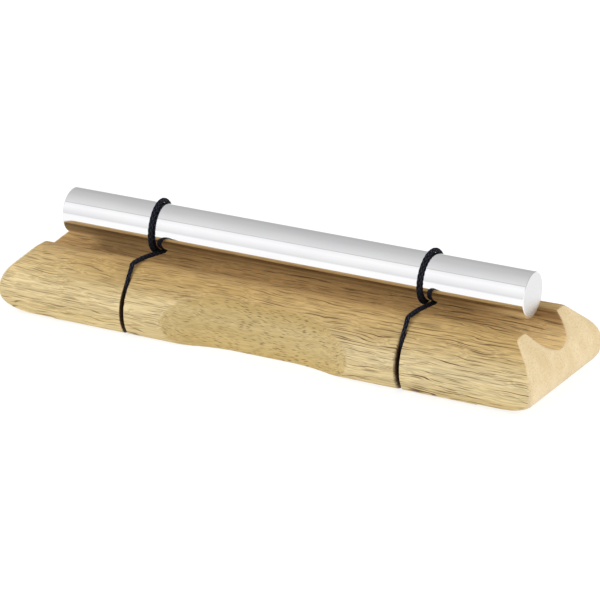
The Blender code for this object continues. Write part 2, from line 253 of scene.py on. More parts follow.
# Braided cord, with painted highlights on its strands, painted shade between them, and fuzz counted to a
# metre
CORD_CREST_AND_HIGHLIGHT = ((0.006, 0.0065, 0.011), (0.040, 0.043, 0.066))
CORD_VALLEY_SHADE = (0.001, 0.001, 0.002)
CORD_ROUGHNESS = 0.7
CORD_GLOSS = 0.12
FUZZ = (5000, 5000)
FUZZ_RELIEF = 0.04 * MM
FUZZ_RELIEF_STRENGTH = 0.6

# Studio floor, which dims towards the front
FLOOR_REACH = 6.0
FLOOR_GREY = (0.25, 0.25, 0.25, 1.0)
FLOOR_WHITE = (1.0, 1.0, 1.0, 1.0)
FLOOR_GLOW = (0.58, 0.80)
FLOOR_DIMS = (-0.40, -0.15)

# Studio lamps, aimed at the origin
KEY_LAMP = {"direction": (-0.55, -0.60, 0.75), "distance": 1.2, "size": 0.5, "power": 4.0}
END_LAMP = {"direction": (0.85, 0.20, 0.50), "distance": 1.2, "size": 0.6, "power": 6.5}

# Brightness of the studio's walls by angle from straight overhead, in degrees, towards the front
BACK_WALL = ((-90, 0.48), (-73, 0.50), (-20, 0.61))
CEILING = ((4, 0.71), (25, 0.79), (33.2, 0.80))
DARK_SEAM = ((34, 0.40), (35, 0.40))
FRONT_WALL = ((35.8, 0.98), (55, 1.07), (69, 1.00), (84, 0.90), (90, 0.88))

# Values that follow from the ones above
LIP_INNER = GROOVE_WIDTH / 2
LIP_OUTER = LIP_INNER + LIP_WIDTH
COVE_RADIUS = (LIP_INNER**2 + GROOVE_DEPTH**2) / (2 * GROOVE_DEPTH)
COVE_HEIGHT = BLOCK_HEIGHT - GROOVE_DEPTH + COVE_RADIUS
SCOOP_RUN = (SCOOP_LENGTH - SCOOP_FLAT) / 2
SCOOP_RADIUS = (SCOOP_RUN**2 + SCOOP_DEPTH**2) / (2 * SCOOP_DEPTH)
UNDER_CORD = KERF_DEPTH - SQUEEZED_RADIUS
LOOP_RADIUS = BAR_RADIUS + CORD_RADIUS
STUDIO_WALLS = BACK_WALL + CEILING + DARK_SEAM + FRONT_WALL


def ramp(value, low, high):
    """0 below low, 1 above high and a smooth climb between."""
    t = np.clip((value - low) / (high - low), 0.0, 1.0)
    return t * t * (3 - 2 * t)


def new_piece(name, mesh, *finishes):
    """Puts a mesh into the scene as a named piece with its materials."""
    obj = bpy.data.objects.new(name, mesh)
    bpy.context.scene.collection.objects.link(obj)
    for finish in finishes:
        mesh.materials.append(finish)
    return obj


def mesh_from(name, points, faces):
    """A smooth-shaded mesh from an array of points and a list of faces."""
    mesh = bpy.data.meshes.new(name)
    mesh.from_pydata(points.tolist(), [], faces)
    mesh.shade_smooth()
    return mesh


def ring_faces(count, around):
    """The four-sided faces between neighbours in a row of rings of points."""
    here = np.arange(around)
    after = (here + 1) % around
    faces = []
    for i in range(count - 1):
        low = i * around
        high = low + around
        faces += np.stack([low + here, low + after, high + after, high + here], axis=1).tolist()
    return faces


def keep_on_points(mesh, name, values):
    """Keeps a value from 0 to 1 at each point of a mesh, for a material to use."""
    kept = mesh.attributes.new(name, "FLOAT", "POINT")
    kept.data.foreach_set("value", values.astype(np.float32))


def stand_in(node):
    """Hides one CAD node, whose place a piece takes."""
    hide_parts(node)


# Wooden block


def slope_end(slope):
    """The height where a straight slope runs into the belly's arc."""
    return BELLY_HEIGHT + BELLY_RADIUS * math.sin(slope)


def belly_axis(slope):
    """How far the belly arc's centre lies out past the lip's edge, which is less than nothing."""
    return (BLOCK_HEIGHT - slope_end(slope)) * math.tan(slope) - BELLY_RADIUS * math.cos(slope)


BELLY_EDGE = LIP_OUTER + belly_axis(SIDE_SLOPE) + BELLY_RADIUS


def rounded_max(a, b, radius):
    """The larger of two distances, with the edge between them rounded off."""
    beyond = np.hypot(np.maximum(a + radius, 0), np.maximum(b + radius, 0))
    return np.minimum(np.maximum(a, b), -radius) + beyond


def flank(out, up, lip_edge, slope):
    """Distance outside a side or an end: a straight slope from the lip that runs into the belly's arc."""
    slant = (out - lip_edge) * math.cos(slope) + (up - BLOCK_HEIGHT) * math.sin(slope)
    past = out - lip_edge - belly_axis(slope)
    above = up - BELLY_HEIGHT
    bulge = np.hypot(np.maximum(past, 0), above) - BELLY_RADIUS
    return np.where(above * math.cos(slope) > past * math.sin(slope), slant, bulge)


def foot_inset(up, radius):
    """How far a rounded foot draws a side or an end in at a height."""
    share = np.clip(up / radius, 0.0, 1.0)
    return radius * (1 - np.sqrt(share * (2 - share)))


def body_distance(x, y, z):
    """Distance outside the block before anything is cut from it, less than nothing inside."""
    side = flank(np.abs(y), z, LIP_OUTER, SIDE_SLOPE)
    along = np.abs(x - y * math.tan(END_SKEW))
    end = flank(along, z, LIP_LENGTH / 2, END_SLOPE)
    side = side + foot_inset(z, SIDE_FOOT_ROUND)
    end = end + foot_inset(z, END_FOOT_ROUND)
    corner = FOOT_CORNER_RADIUS + ramp(z, 0.0, BELLY_HEIGHT) * (CORNER_RADIUS - FOOT_CORNER_RADIUS)
    walls = np.maximum(rounded_max(side, end, corner), -z)
    from_end = ramp(LIP_LENGTH / 2 - along, 0.0, LIP_END_REACH)
    lip_edge = LIP_END_EDGE + from_end * (LIP_SIDE_EDGE - LIP_END_EDGE)
    return rounded_max(walls, z - BLOCK_HEIGHT, lip_edge)


def scoop_distance(x, y, z):
    """Distance outside the finger scoops: straight floors that lean in towards the foot, and round ends."""
    along = np.maximum(np.abs(x - SCOOP_MIDDLE) - SCOOP_FLAT / 2, 0)
    out = np.abs(y) - (z - BELLY_HEIGHT) * math.tan(SCOOP_LEAN)
    return np.hypot(along, out - (BELLY_EDGE - SCOOP_DEPTH + SCOOP_RADIUS)) - SCOOP_RADIUS


def kerf_depth(z):
    """How deep a saw cut is at a height: it grows deeper down the sides."""
    return KERF_DEPTH * (1 - ramp(z, KERF_FULL, KERF_TOP))


def kerf_distance(x, z, body, along):
    """Distance outside one saw cut, which runs down both sides and across the underside."""
    return np.maximum(np.abs(x - along) - KERF_WIDTH / 2, -body - kerf_depth(z))


def pocket_distance(x, y, z, along):
    """Distance outside one knot's recess."""
    return np.maximum(np.hypot(x - along, y) - POCKET_RADIUS, z - POCKET_DEPTH)


def block_distance(points):
    """Distance outside the finished block at each point, less than nothing inside."""
    x, y, z = points[..., 0], points[..., 1], points[..., 2]
    body = body_distance(x, y, z)
    cove = np.hypot(y, z - COVE_HEIGHT) - COVE_RADIUS
    shape = rounded_max(body, -scoop_distance(x, y, z), SCOOP_EDGE)
    shape = rounded_max(shape, -cove, GROOVE_EDGE)
    for _, along, _, _ in cord_places():
        shape = rounded_max(shape, -kerf_distance(x, z, body, along), KERF_EDGE)
        shape = rounded_max(shape, -pocket_distance(x, y, z, along), POCKET_EDGE)
    return shape


def grid_line(reach_low, reach_high, step, fine_spots, fine_step=FINE_STEP):
    """Places along one axis, closer together near the fine spots."""
    places = [reach_low - SKIN_MARGIN]
    while places[-1] < reach_high + SKIN_MARGIN:
        near = any(abs(places[-1] - spot) < FINE_REACH for spot in fine_spots)
        places.append(places[-1] + (fine_step if near else step))
    return np.array(places)


def skin_quads(inside, number):
    """The four-sided faces between neighbouring cells that the surface passes through."""
    quads = []
    for axis in range(3):
        solid = np.moveaxis(inside, axis, 0)
        cell = np.moveaxis(number, axis, 0)
        i, j, k = np.nonzero(solid[1:, 1:-1, 1:-1] != solid[:-1, 1:-1, 1:-1])
        ring = np.stack([cell[i, j, k], cell[i, j + 1, k], cell[i, j + 1, k + 1], cell[i, j, k + 1]], axis=1)
        faces_up = solid[i, j + 1, k + 1] != (axis == 1)
        ring[~faces_up] = ring[~faces_up][:, ::-1]
        quads.append(ring)
    return np.concatenate(quads)


def slope_of(distance, points):
    """Which way, and how fast, a distance grows at each point."""
    steps = np.eye(3) * NUDGE
    return np.stack([distance(points + s) - distance(points - s) for s in steps], axis=-1) / (2 * NUDGE)


def settle(distance, points):
    """Moves points onto the surface where the distance is nothing."""
    slope = slope_of(distance, points)
    steepness = np.maximum((slope**2).sum(axis=-1, keepdims=True), LEAST_STEEPNESS)
    return points - slope * (distance(points)[..., None] / steepness)


def evened(points, quads):
    """Moves each point half way to the middle of its neighbours."""
    total = np.zeros_like(points)
    count = np.zeros((len(points), 1))
    for a in range(4):
        start = quads[:, a]
        for b in (a - 1, (a + 1) % 4):
            np.add.at(total, start, points[quads[:, b]])
            np.add.at(count, start, 1)
    return (points + total / np.maximum(count, 1)) / 2


def wrap(distance, lines):
    """A skin of quads over the surface where a distance is nothing."""
    grid = np.stack(np.meshgrid(*lines, indexing="ij"), axis=-1)
    inside = distance(grid) < 0
    corners = sum(
        inside[a:inside.shape[0] - 1 + a, b:inside.shape[1] - 1 + b, c:inside.shape[2] - 1 + c].astype(int)
        for a in (0, 1) for b in (0, 1) for c in (0, 1)
    )
    crossed = (corners > 0) & (corners < 8)
    number = np.full(crossed.shape, -1)
    number[crossed] = np.arange(crossed.sum())
    middles = np.meshgrid(*[(line[1:] + line[:-1]) / 2 for line in lines], indexing="ij")
    points = np.stack(middles, axis=-1)[crossed]
    quads = skin_quads(inside, number)
    for _ in range(SETTLING_ROUNDS):
        points = settle(distance, settle(distance, points))
        points = evened(points, quads)
    for _ in range(LAST_SETTLES):
        points = settle(distance, points)
    return points, quads


def make_block(wood):
    """The sanded block, which keeps where it is scooped out, and the painted shade inside its saw cuts."""
    low, high = (Vector(corner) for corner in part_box("base_block"))
    kerfs = [along for _, along, _, _ in cord_places()]
    lines = (
        grid_line(low.x, high.x, SKIN_STEP[0], kerfs, KERF_STEP),
        grid_line(low.y, high.y, SKIN_STEP[1], (-LIP_INNER, LIP_INNER)),
        grid_line(low.z, high.z, SKIN_STEP[2], (0.0, BLOCK_HEIGHT)),
    )
    points, quads = wrap(block_distance, lines)
    block = new_piece("block_skin", mesh_from("block_skin", points, quads.tolist()), wood)
    block.data.set_sharp_from_angle(angle=SHARP_FROM)
    depth = -body_distance(*points.T)
    outside_lips = np.abs(points[:, 1]) > LIP_OUTER
    near_scoop = np.abs(points[:, 0] - SCOOP_MIDDLE) < SCOOP_LENGTH / 2
    scooped = ramp(depth, 0.0, SCOOP_TONE_DEPTH) * (outside_lips & near_scoop)
    keep_on_points(block.data, "scooped", scooped)
    # Painted shade inside the saw cuts, full where a cut is deep enough
    from_kerf = np.min([np.abs(points[:, 0] - along) for along in kerfs], axis=0)
    in_kerf = ramp(-from_kerf, -KERF_WIDTH / 2 - KERF_EDGE, -KERF_WIDTH / 2)
    in_kerf *= (depth < KERF_DEPTH + KERF_EDGE) & (np.abs(points[:, 1]) > POCKET_RADIUS)
    keep_on_points(block.data, "kerf_shade", in_kerf * ramp(kerf_depth(points[:, 2]), 0.0, KERF_SHADE_DEPTH))
    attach(block, "base")
    stand_in("base_block")


# Chime bar


def make_bar(metal, turned):
    """The bar, turned about its own axis, with softly rounded edges and turned end faces."""
    half = BAR_LENGTH / 2
    turn = [math.pi / 2 * i / BAR_EDGE_STEPS for i in range(BAR_EDGE_STEPS + 1)]
    right = [(half - BAR_EDGE * (1 - math.sin(t)), BAR_RADIUS - BAR_EDGE * (1 - math.cos(t))) for t in turn]
    right += [(half, BAR_RADIUS * share) for share in BAR_END_RINGS]
    profile = [(-x, radius) for x, radius in reversed(right)] + right
    angles = 2 * math.pi * np.arange(BAR_SEGMENTS) / BAR_SEGMENTS
    rings = []
    for x, radius in profile:
        ring = [np.full(BAR_SEGMENTS, x), radius * np.cos(angles), radius * np.sin(angles)]
        rings.append(np.stack(ring, axis=1))
    middles = np.array([[-half, 0, 0], [half, 0, 0]])
    points = np.concatenate(rings + [middles]) + np.array(BAR_CENTRE)
    left_middle, right_middle = len(points) - 2, len(points) - 1
    last = (len(profile) - 1) * BAR_SEGMENTS
    faces = ring_faces(len(profile), BAR_SEGMENTS)
    faces += [((i + 1) % BAR_SEGMENTS, i, left_middle) for i in range(BAR_SEGMENTS)]
    faces += [(last + i, last + (i + 1) % BAR_SEGMENTS, right_middle) for i in range(BAR_SEGMENTS)]
    mesh = mesh_from("bar_skin", points, faces)
    bar = new_piece("bar_skin", mesh, metal, turned)
    for face in mesh.polygons:
        if abs(face.normal.x) > END_FACING:
            face.material_index = 1
    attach(bar, "bar")
    stand_in("chime_bar")


# Cords


def cord_places():
    """The two cords by name, with each one's place along the block and its loop's shift and lean."""
    left = ("left", CORD_MIDDLE - CORD_SPACING / 2, LEFT_LOOP_SHIFT, LEFT_LOOP_LEAN)
    right = ("right", CORD_MIDDLE + CORD_SPACING / 2, RIGHT_LOOP_SHIFT, RIGHT_LOOP_LEAN)
    return left, right


def side_point(share, offset):
    """A point beside the block's long side, a share of the way down it and an offset out from it."""
    slope_run = (BLOCK_HEIGHT - slope_end(SIDE_SLOPE)) / math.cos(SIDE_SLOPE)
    foot_angle = math.asin(min(BELLY_HEIGHT / BELLY_RADIUS, 1.0))
    down = share * (slope_run + BELLY_RADIUS * (SIDE_SLOPE + foot_angle))
    if down < slope_run:
        angle = SIDE_SLOPE
        out = LIP_OUTER + down * math.sin(angle)
        up = BLOCK_HEIGHT - down * math.cos(angle)
    else:
        angle = SIDE_SLOPE - (down - slope_run) / BELLY_RADIUS
        out = LIP_OUTER + belly_axis(SIDE_SLOPE) + BELLY_RADIUS * math.cos(angle)
        up = BELLY_HEIGHT + BELLY_RADIUS * math.sin(angle)
    return out + offset * math.cos(angle), up + offset * math.sin(angle)


def tail_knots():
    """A tail's way over the lip, down the side and under the block to the knot, as (out, up, radius)."""
    over = BLOCK_HEIGHT + CORD_RADIUS
    knots = [(LIP_INNER, over, CORD_RADIUS), (LIP_INNER + LIP_WIDTH / 2, over, CORD_RADIUS)]
    for share in np.arange(SIDE_POINTS) / SIDE_POINTS:
        radius = CORD_RADIUS + ramp(share, THINS_FROM, SINKS_FROM) * (SQUEEZED_RADIUS - CORD_RADIUS)
        offset = radius - ramp(share, SINKS_FROM, SUNK_AT) * (radius + UNDER_CORD)
        out, up = side_point(share, offset)
        if up > UNDER_CORD + KERF_DEPTH:
            knots.append((out, up, radius))
    knots.append((BELLY_EDGE - 2 * KERF_DEPTH, UNDER_CORD, SQUEEZED_RADIUS))
    knots.append((LIP_INNER, UNDER_CORD, SQUEEZED_RADIUS))
    knots.append((KNOT_REACH, KNOT_HEIGHT, SQUEEZED_RADIUS))
    return knots


def span_tangent():
    """Where a cord leaves the lip and meets its loop under the bar, as (out, up)."""
    start = Vector((LIP_INNER, BLOCK_HEIGHT + CORD_RADIUS))
    to_bar = Vector((0, BAR_CENTRE.z)) - start
    swing = math.asin(LOOP_RADIUS / to_bar.length)
    angle = math.atan2(to_bar.y, -to_bar.x) - swing
    heading = Vector((-math.cos(angle), math.sin(angle)))
    return start, start + heading * math.sqrt(to_bar.length**2 - LOOP_RADIUS**2)


def loop_lead():
    """The angle before the lowest point at which a cord meets its loop."""
    touch = span_tangent()[1]
    return math.atan2(touch.x, BAR_CENTRE.z - touch.y)


def loop_shift(angle, lean):
    """How far along the bar a loop's cord lies at an angle past its lowest point, on its way round."""
    share = (angle + loop_lead()) / (2 * math.pi + 2 * loop_lead())
    return LOOP_STEP * (0.5 - share) - lean * math.sin(angle)


def lip_drift(along, shift, lean, side, out):
    """Where along the block a cord lies on its straight way from its saw cut over the lip to its loop."""
    meets_at = -loop_lead() if side < 0 else 2 * math.pi + loop_lead()
    drift = shift + loop_shift(meets_at, lean)
    touch = span_tangent()[1]
    share = np.clip((LIP_OUTER - out) / (LIP_OUTER - touch.x), 0.0, 1.0)
    return along + drift * float(share)


def span_knots(along, shift, lean, side):
    """Points of a free stretch between its ends at the lip and at the loop, from the lip inwards."""
    start, touch = span_tangent()
    knots = []
    for share in np.arange(1, SPAN_STEPS) / SPAN_STEPS:
        point = start.lerp(touch, share)
        knots.append((lip_drift(along, shift, lean, side, point.x), side * point.x, point.y, CORD_RADIUS))
    return knots


def loop_knots(along, shift, lean):
    """Points of one turn round the bar: up behind it, over, down in front and under."""
    knots = []
    for angle in np.linspace(-loop_lead(), 2 * math.pi + loop_lead(), LOOP_STEPS + 1):
        x = along + shift + loop_shift(angle, lean)
        y = LOOP_RADIUS * math.sin(angle)
        z = BAR_CENTRE.z - LOOP_RADIUS * math.cos(angle)
        knots.append((x, y, z, CORD_RADIUS))
    return knots


def cord_route(along, shift, lean):
    """A whole cord from its knot round to its knot again, as named stretches of (x, y, z, radius) points."""
    tail = tail_knots()
    near_tail = [(lip_drift(along, shift, lean, -1, out), -out, up, r) for out, up, r in reversed(tail)]
    far_tail = [(lip_drift(along, shift, lean, 1, out), out, up, r) for out, up, r in tail]
    return (
        ("near_tail", near_tail),
        ("near_span", span_knots(along, shift, lean, -1)),
        ("loop", loop_knots(along, shift, lean)),
        ("far_span", list(reversed(span_knots(along, shift, lean, 1)))),
        ("far_tail", far_tail),
    )


def smooth_path(knots, spacing):
    """Points about a spacing apart on a smooth curve through the knots, and each knot's place among them."""
    knots = np.array(knots)
    ends = np.vstack([2 * knots[0] - knots[1], knots, 2 * knots[-1] - knots[-2]])
    path = [knots[0]]
    places = [0]
    for a, b, c, d in zip(ends, ends[1:], ends[2:], ends[3:]):
        steps = max(1, round(float(np.linalg.norm((c - b)[:3])) / spacing))
        for t in np.arange(1, steps + 1) / steps:
            bend = 2 * a - 5 * b + 4 * c - d
            twist = 3 * b - a - 3 * c + d
            path.append(b + 0.5 * t * ((c - a) + t * (bend + t * twist)))
        places.append(len(path) - 1)
    return np.array(path), places


def carried_frames(points):
    """Two directions square to a path at each point, carried along it without twisting."""
    heading = np.gradient(points, axis=0)
    heading /= np.linalg.norm(heading, axis=1, keepdims=True)
    first = np.cross(heading[0], (1.0, 0.0, 0.0))
    firsts = []
    for direction in heading:
        first = first - direction * np.dot(first, direction)
        first = first / np.linalg.norm(first)
        firsts.append(first)
    firsts = np.array(firsts)
    return firsts, np.cross(heading, firsts)


def braid_height(turn, along):
    """Height of a braid's surface from 0 to 1: strands wound both ways, over and under in turn."""
    one_way = BRAID_STRANDS * turn + math.pi * along / BRAID_LUMP
    other_way = BRAID_STRANDS * turn - math.pi * along / BRAID_LUMP
    one_on_top = (np.floor(one_way / math.pi) + np.floor(other_way / math.pi)) % 2 == 0
    return np.where(one_on_top, np.abs(np.sin(one_way)), np.abs(np.sin(other_way)))


def braided_rings(path, radii):
    """Rings of points round a path, lumpy like a braid."""
    firsts, seconds = carried_frames(path)
    run = np.concatenate([[0], np.cumsum(np.linalg.norm(np.diff(path, axis=0), axis=1))])
    turn = 2 * math.pi * np.arange(BRAID_SEGMENTS) / BRAID_SEGMENTS
    height = braid_height(turn[None, :], run[:, None])
    reach = radii[:, None] * (1 - BRAID_DEPTH * (1 - height))
    cosine = np.cos(turn)[None, :, None]
    sine = np.sin(turn)[None, :, None]
    round_about = firsts[:, None] * cosine + seconds[:, None] * sine
    return path[:, None] + round_about * reach[..., None], height


def ringed_mesh(name, rings, heights):
    """A closed mesh over rings of points, which keeps the braid's height at each."""
    count, around = rings.shape[:2]
    faces = ring_faces(count, around)
    faces.append(list(range(around - 1, -1, -1)))
    faces.append(list(range((count - 1) * around, count * around)))
    mesh = mesh_from(name, rings.reshape(-1, 3), faces)
    mesh.set_sharp_from_angle(angle=CUT_END_FROM)
    keep_on_points(mesh, "braid", heights.ravel())
    return mesh


def make_knot(side, along, finish):
    """An overhand knot drawn up tight in its recess."""
    t = 2 * math.pi * np.arange(KNOT_POINTS + 1) / KNOT_POINTS
    flat = KNOT_REACH / 3
    x = along + flat * (np.sin(t) + 2 * np.sin(2 * t))
    y = flat * (np.cos(t) - 2 * np.cos(2 * t))
    z = KNOT_HEIGHT - KNOT_RISE * np.sin(3 * t)
    path = np.stack([x, y, z], axis=1)
    rings, heights = braided_rings(path, np.full(len(path), KNOT_CORD_RADIUS))
    knot = new_piece("%s_knot" % side, ringed_mesh("%s_knot" % side, rings, heights), finish)
    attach(knot, "base")
    stand_in("%s_cord_knot" % side)


def make_cord(side, along, shift, lean, finish):
    """One braided cord in the stretches that the CAD model has, so that its loop can move with the bar."""
    route = cord_route(along, shift, lean)
    knots = [knot for _, stretch in route for knot in stretch]
    path, places = smooth_path(knots, BRAID_SPACING)
    rings, heights = braided_rings(path[:, :3], path[:, 3])
    until = np.cumsum([len(stretch) for _, stretch in route])
    ends = {
        "near_tail": (0, until[0] - 1),
        "near_span": (until[0] - 1, until[1]),
        "loop": (until[1], until[2] - 1),
        "far_span": (until[2] - 1, until[3]),
        "far_tail": (until[3], until[4] - 1),
    }
    for name, (first, last) in ends.items():
        part = slice(places[first], places[last] + 1)
        mesh = ringed_mesh("%s_%s" % (side, name), rings[part], heights[part])
        piece = new_piece("%s_%s" % (side, name), mesh, finish)
        if name == "loop":
            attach(piece, "cord_loops")
        elif name.endswith("tail"):
            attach(piece, "base")
        else:
            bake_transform(piece)
        stand_in("%s_cord_%s" % (side, name))


# Materials


class Finish:
    """A material whose nodes are added one by one."""

    def __init__(self, name):
        self.material = bpy.data.materials.new(name)
        self.material.use_nodes = True
        self.tree = self.material.node_tree
        self.shader = self.tree.nodes["Principled BSDF"]

    def node(self, kind, **settings):
        """Adds a node and sets its own properties."""
        made = self.tree.nodes.new(kind)
        for key, value in settings.items():
            setattr(made, key, value)
        return made

    def link(self, output, target):
        """Joins an output to a socket."""
        self.tree.links.new(output, target)

    def place(self):
        """Places on the piece."""
        return self.node("ShaderNodeTexCoord").outputs["Object"]

    def stretched(self, lengthwise, crosswise):
        """Places on the piece, with so many to a metre along it and across it."""
        mapping = self.node("ShaderNodeMapping")
        mapping.inputs["Scale"].default_value = (lengthwise, crosswise, crosswise)
        self.link(self.place(), mapping.inputs["Vector"])
        return mapping.outputs["Vector"]

    def noise(self, vector, detail=2.0, roughness=0.5):
        """Cloudy noise from 0 to 1."""
        made = self.node("ShaderNodeTexNoise")
        made.inputs["Scale"].default_value = 1.0
        made.inputs["Detail"].default_value = detail
        made.inputs["Roughness"].default_value = roughness
        self.link(vector, made.inputs["Vector"])
        return made.outputs["Fac"]

    def kept(self, name):
        """A value that is kept at each point of the mesh."""
        return self.node("ShaderNodeAttribute", attribute_name=name).outputs["Fac"]

    def map(self, value, low, high, to_low=0.0, to_high=1.0):
        """Stretches a range of values onto another, smoothly."""
        made = self.node("ShaderNodeMapRange", interpolation_type="SMOOTHSTEP")
        for key, number in (("From Min", low), ("From Max", high), ("To Min", to_low), ("To Max", to_high)):
            made.inputs[key].default_value = number
        self.link(value, made.inputs["Value"])
        return made.outputs["Result"]

    def math(self, operation, a, b):
        """A sum on two values, each a number or an output."""
        made = self.node("ShaderNodeMath", operation=operation)
        for socket, value in zip(made.inputs, (a, b)):
            if isinstance(value, (int, float)):
                socket.default_value = value
            else:
                self.link(value, socket)
        return made.outputs["Value"]

    def between(self, share, a, b):
        """Mixes two values, each an output."""
        made = self.node("ShaderNodeMix")
        for key, value in (("Factor", share), ("A", a), ("B", b)):
            self.link(value, made.inputs[key])
        return made.outputs["Result"]

    def mix(self, share, a, b, blend="MIX"):
        """Mixes two colours, each a colour or an output."""
        made = self.node("ShaderNodeMix", data_type="RGBA", blend_type=blend)
        for socket, value in ((made.inputs[0], share), (made.inputs[6], a), (made.inputs[7], b)):
            if isinstance(value, tuple):
                socket.default_value = (*value, 1.0)
            elif isinstance(value, (int, float)):
                socket.default_value = value
            else:
                self.link(value, socket)
        return made.outputs[2]

    def bump(self, height, distance, strength):
        """Raises the surface by a height."""
        made = self.node("ShaderNodeBump")
        made.inputs["Distance"].default_value = distance
        made.inputs["Strength"].default_value = strength
        self.link(height, made.inputs["Height"])
        self.link(made.outputs["Normal"], self.shader.inputs["Normal"])

    def set(self, **values):
        """Sets plain values on the shader's own sockets."""
        for key, value in values.items():
            self.shader.inputs[key.replace("_", " ")].default_value = value

    def drive(self, key, output):
        """Joins an output to one of the shader's own sockets."""
        self.link(output, self.shader.inputs[key])


class Wood(Finish):
    """The block's wood, whose tones and pores share the same places and the same swaying grain."""

    def __init__(self, name):
        super().__init__(name)
        place = self.node("ShaderNodeSeparateXYZ")
        self.link(self.place(), place.inputs["Vector"])
        self.along, self.over, self.up = (place.outputs[axis] for axis in "XYZ")
        self.out = self.math("ABSOLUTE", self.over, 0.0)
        self.in_groove = self.map(self.out, LIP_INNER - GROOVE_BLUR, LIP_INNER + GROOVE_BLUR, 1.0, 0.0)
        sway = self.map(self.noise(self.stretched(*SWAYS), detail=1.0), 0.2, 0.8, -1.0, 1.0)
        ripple = self.map(self.noise(self.stretched(*RIPPLES), detail=1.0), 0.2, 0.8, -0.5, 0.5)
        self.swing = self.math("ADD", sway, ripple)
        self.bands = self.grain(*BANDS, roughness=0.5)
        self.rings = self.grain(*RINGS, roughness=0.6)
        self.fibres = self.grain(*FIBRES, roughness=0.65)
        self.girth = self.way_round()

    def grain(self, lengthwise, crosswise, roughness):
        """Cloudy noise drawn out along the grain, which sways to and fro."""
        wave = self.node("ShaderNodeCombineXYZ")
        self.link(self.swing, wave.inputs["Y"])
        self.link(self.swing, wave.inputs["Z"])
        moved = self.node("ShaderNodeVectorMath", operation="MULTIPLY_ADD")
        self.link(wave.outputs["Vector"], moved.inputs[0])
        moved.inputs[1].default_value = (0, crosswise * GRAIN_SWAY, -crosswise * GRAIN_SWAY)
        self.link(self.stretched(lengthwise, crosswise), moved.inputs[2])
        return self.noise(moved.outputs["Vector"], roughness=roughness)

    def way_round(self):
        """How far round the block a place lies, down its sides or across its groove, swaying along it."""
        down = self.math("SUBTRACT", self.up, self.math("MULTIPLY", self.out, SIDE_LEAN))
        sway = self.map(self.in_groove, 0.0, 1.0, PORE_SWAY, GROOVE_PORE_SWAY)
        place = self.between(self.in_groove, down, self.over)
        return self.math("ADD", place, self.math("MULTIPLY", self.swing, sway))

    def pores(self, lengthwise, crosswise, size):
        """Thin pores laid on the surface along the grain."""
        spot = self.node("ShaderNodeCombineXYZ")
        self.link(self.math("MULTIPLY", self.along, lengthwise), spot.inputs["X"])
        self.link(self.math("MULTIPLY", self.girth, crosswise), spot.inputs["Y"])
        cells = self.node("ShaderNodeTexVoronoi", voronoi_dimensions="2D")
        cells.inputs["Scale"].default_value = 1.0
        self.link(spot.outputs["Vector"], cells.inputs["Vector"])
        return self.map(cells.outputs["Distance"], PORE_CORE * size, size, 1.0, 0.0)


def all_pores(wood, scooped):
    """Long and short pores outside, bolder to the right, and patches of finer ones in the scoops."""
    crowding = wood.map(wood.rings, 0.38, 0.58, 0.3, 1.0)
    bolder = wood.map(wood.along, *BOLDER_ALONG, 0.6, 1.2)
    long_pores = wood.math("MULTIPLY", wood.pores(*LONG_PORES), wood.math("MULTIPLY", crowding, bolder))
    short_pores = wood.math("MULTIPLY", wood.pores(*SHORT_PORES), SHORT_PORE_TONE)
    outside = wood.math("MAXIMUM", long_pores, short_pores)
    patches = wood.map(wood.noise(wood.stretched(*PATCHES), detail=1.0), 0.35, 0.65, 0.3, 0.85)
    in_scoop = wood.math("MULTIPLY", wood.pores(*SCOOP_PORES), patches)
    return wood.between(scooped, outside, in_scoop)


def outside_tone(wood):
    """Straw that is pale low down and at the left, golden higher up, partly as painted shade from the bar,
    and brown with painted shade just under the bar.
    """
    high_up = wood.map(wood.up, *GOLDEN_AND_SHADE_UP)
    mottle = wood.map(wood.bands, 0.32, 0.68)
    # Paler towards the left end
    paler_left = wood.map(wood.along, *PALEST_ALONG, 0.12, 0.0)
    pale = wood.mix(paler_left, wood.mix(mottle, *PALE_WOOD), PALEST_WOOD)
    less_golden_left = wood.map(wood.along, *LESS_GOLDEN_ALONG, 0.55, 1.0)
    # Golden higher up, partly the wood's own tone and partly painted shade from the bar, with less of it
    # towards the left end
    straw = wood.mix(wood.math("MULTIPLY", high_up, less_golden_left), pale, wood.mix(mottle, *GOLDEN_WOOD_AND_SHADE))
    # Painted shade: brown under the bar, strongest at the groove's edge, fading down the side and towards
    # the right end
    bar_shade_across = wood.map(wood.out, LIP_INNER, LIP_OUTER + BAR_SHADE_REACH, 0.7, 0.0)
    bar_shade = wood.math("MULTIPLY", bar_shade_across, wood.map(wood.along, *BAR_SHADE_FADES_ALONG, 1.0, 0.4))
    return wood.mix(wood.math("MULTIPLY", high_up, bar_shade), straw, BAR_SHADE_WOOD)


def groove_tone(wood):
    """Browns with painted shade along the groove's floor under the bar and at its rim, darker at its left,
    and painted light at its right.
    """
    # Painted shade along the floor's low line under the bar, and at the rim
    from_low_line = wood.math("ABSOLUTE", wood.math("SUBTRACT", wood.over, GROOVE_LOW_LINE), 0.0)
    brown = wood.mix(wood.map(from_low_line, *GROOVE_FLOOR_SHADE_OUT), GROOVE_FLOOR_SHADE, GROOVE_WALLS)
    brown = wood.mix(wood.map(wood.up, *GROOVE_RIM_SHADE_UP), brown, GROOVE_RIM_SHADE)
    low_down = wood.map(wood.up, *GROOVE_LIT_UP, 0.9, 0.0)
    lit = wood.math("MULTIPLY", low_down, wood.map(wood.along, *GROOVE_LIT_ALONG))
    brown = wood.mix(lit, brown, GROOVE_LIT)
    dark = wood.map(wood.along, *GROOVE_DARK_ALONG, 0.6, 0.0)
    return wood.mix(dark, brown, GROOVE_DARK)


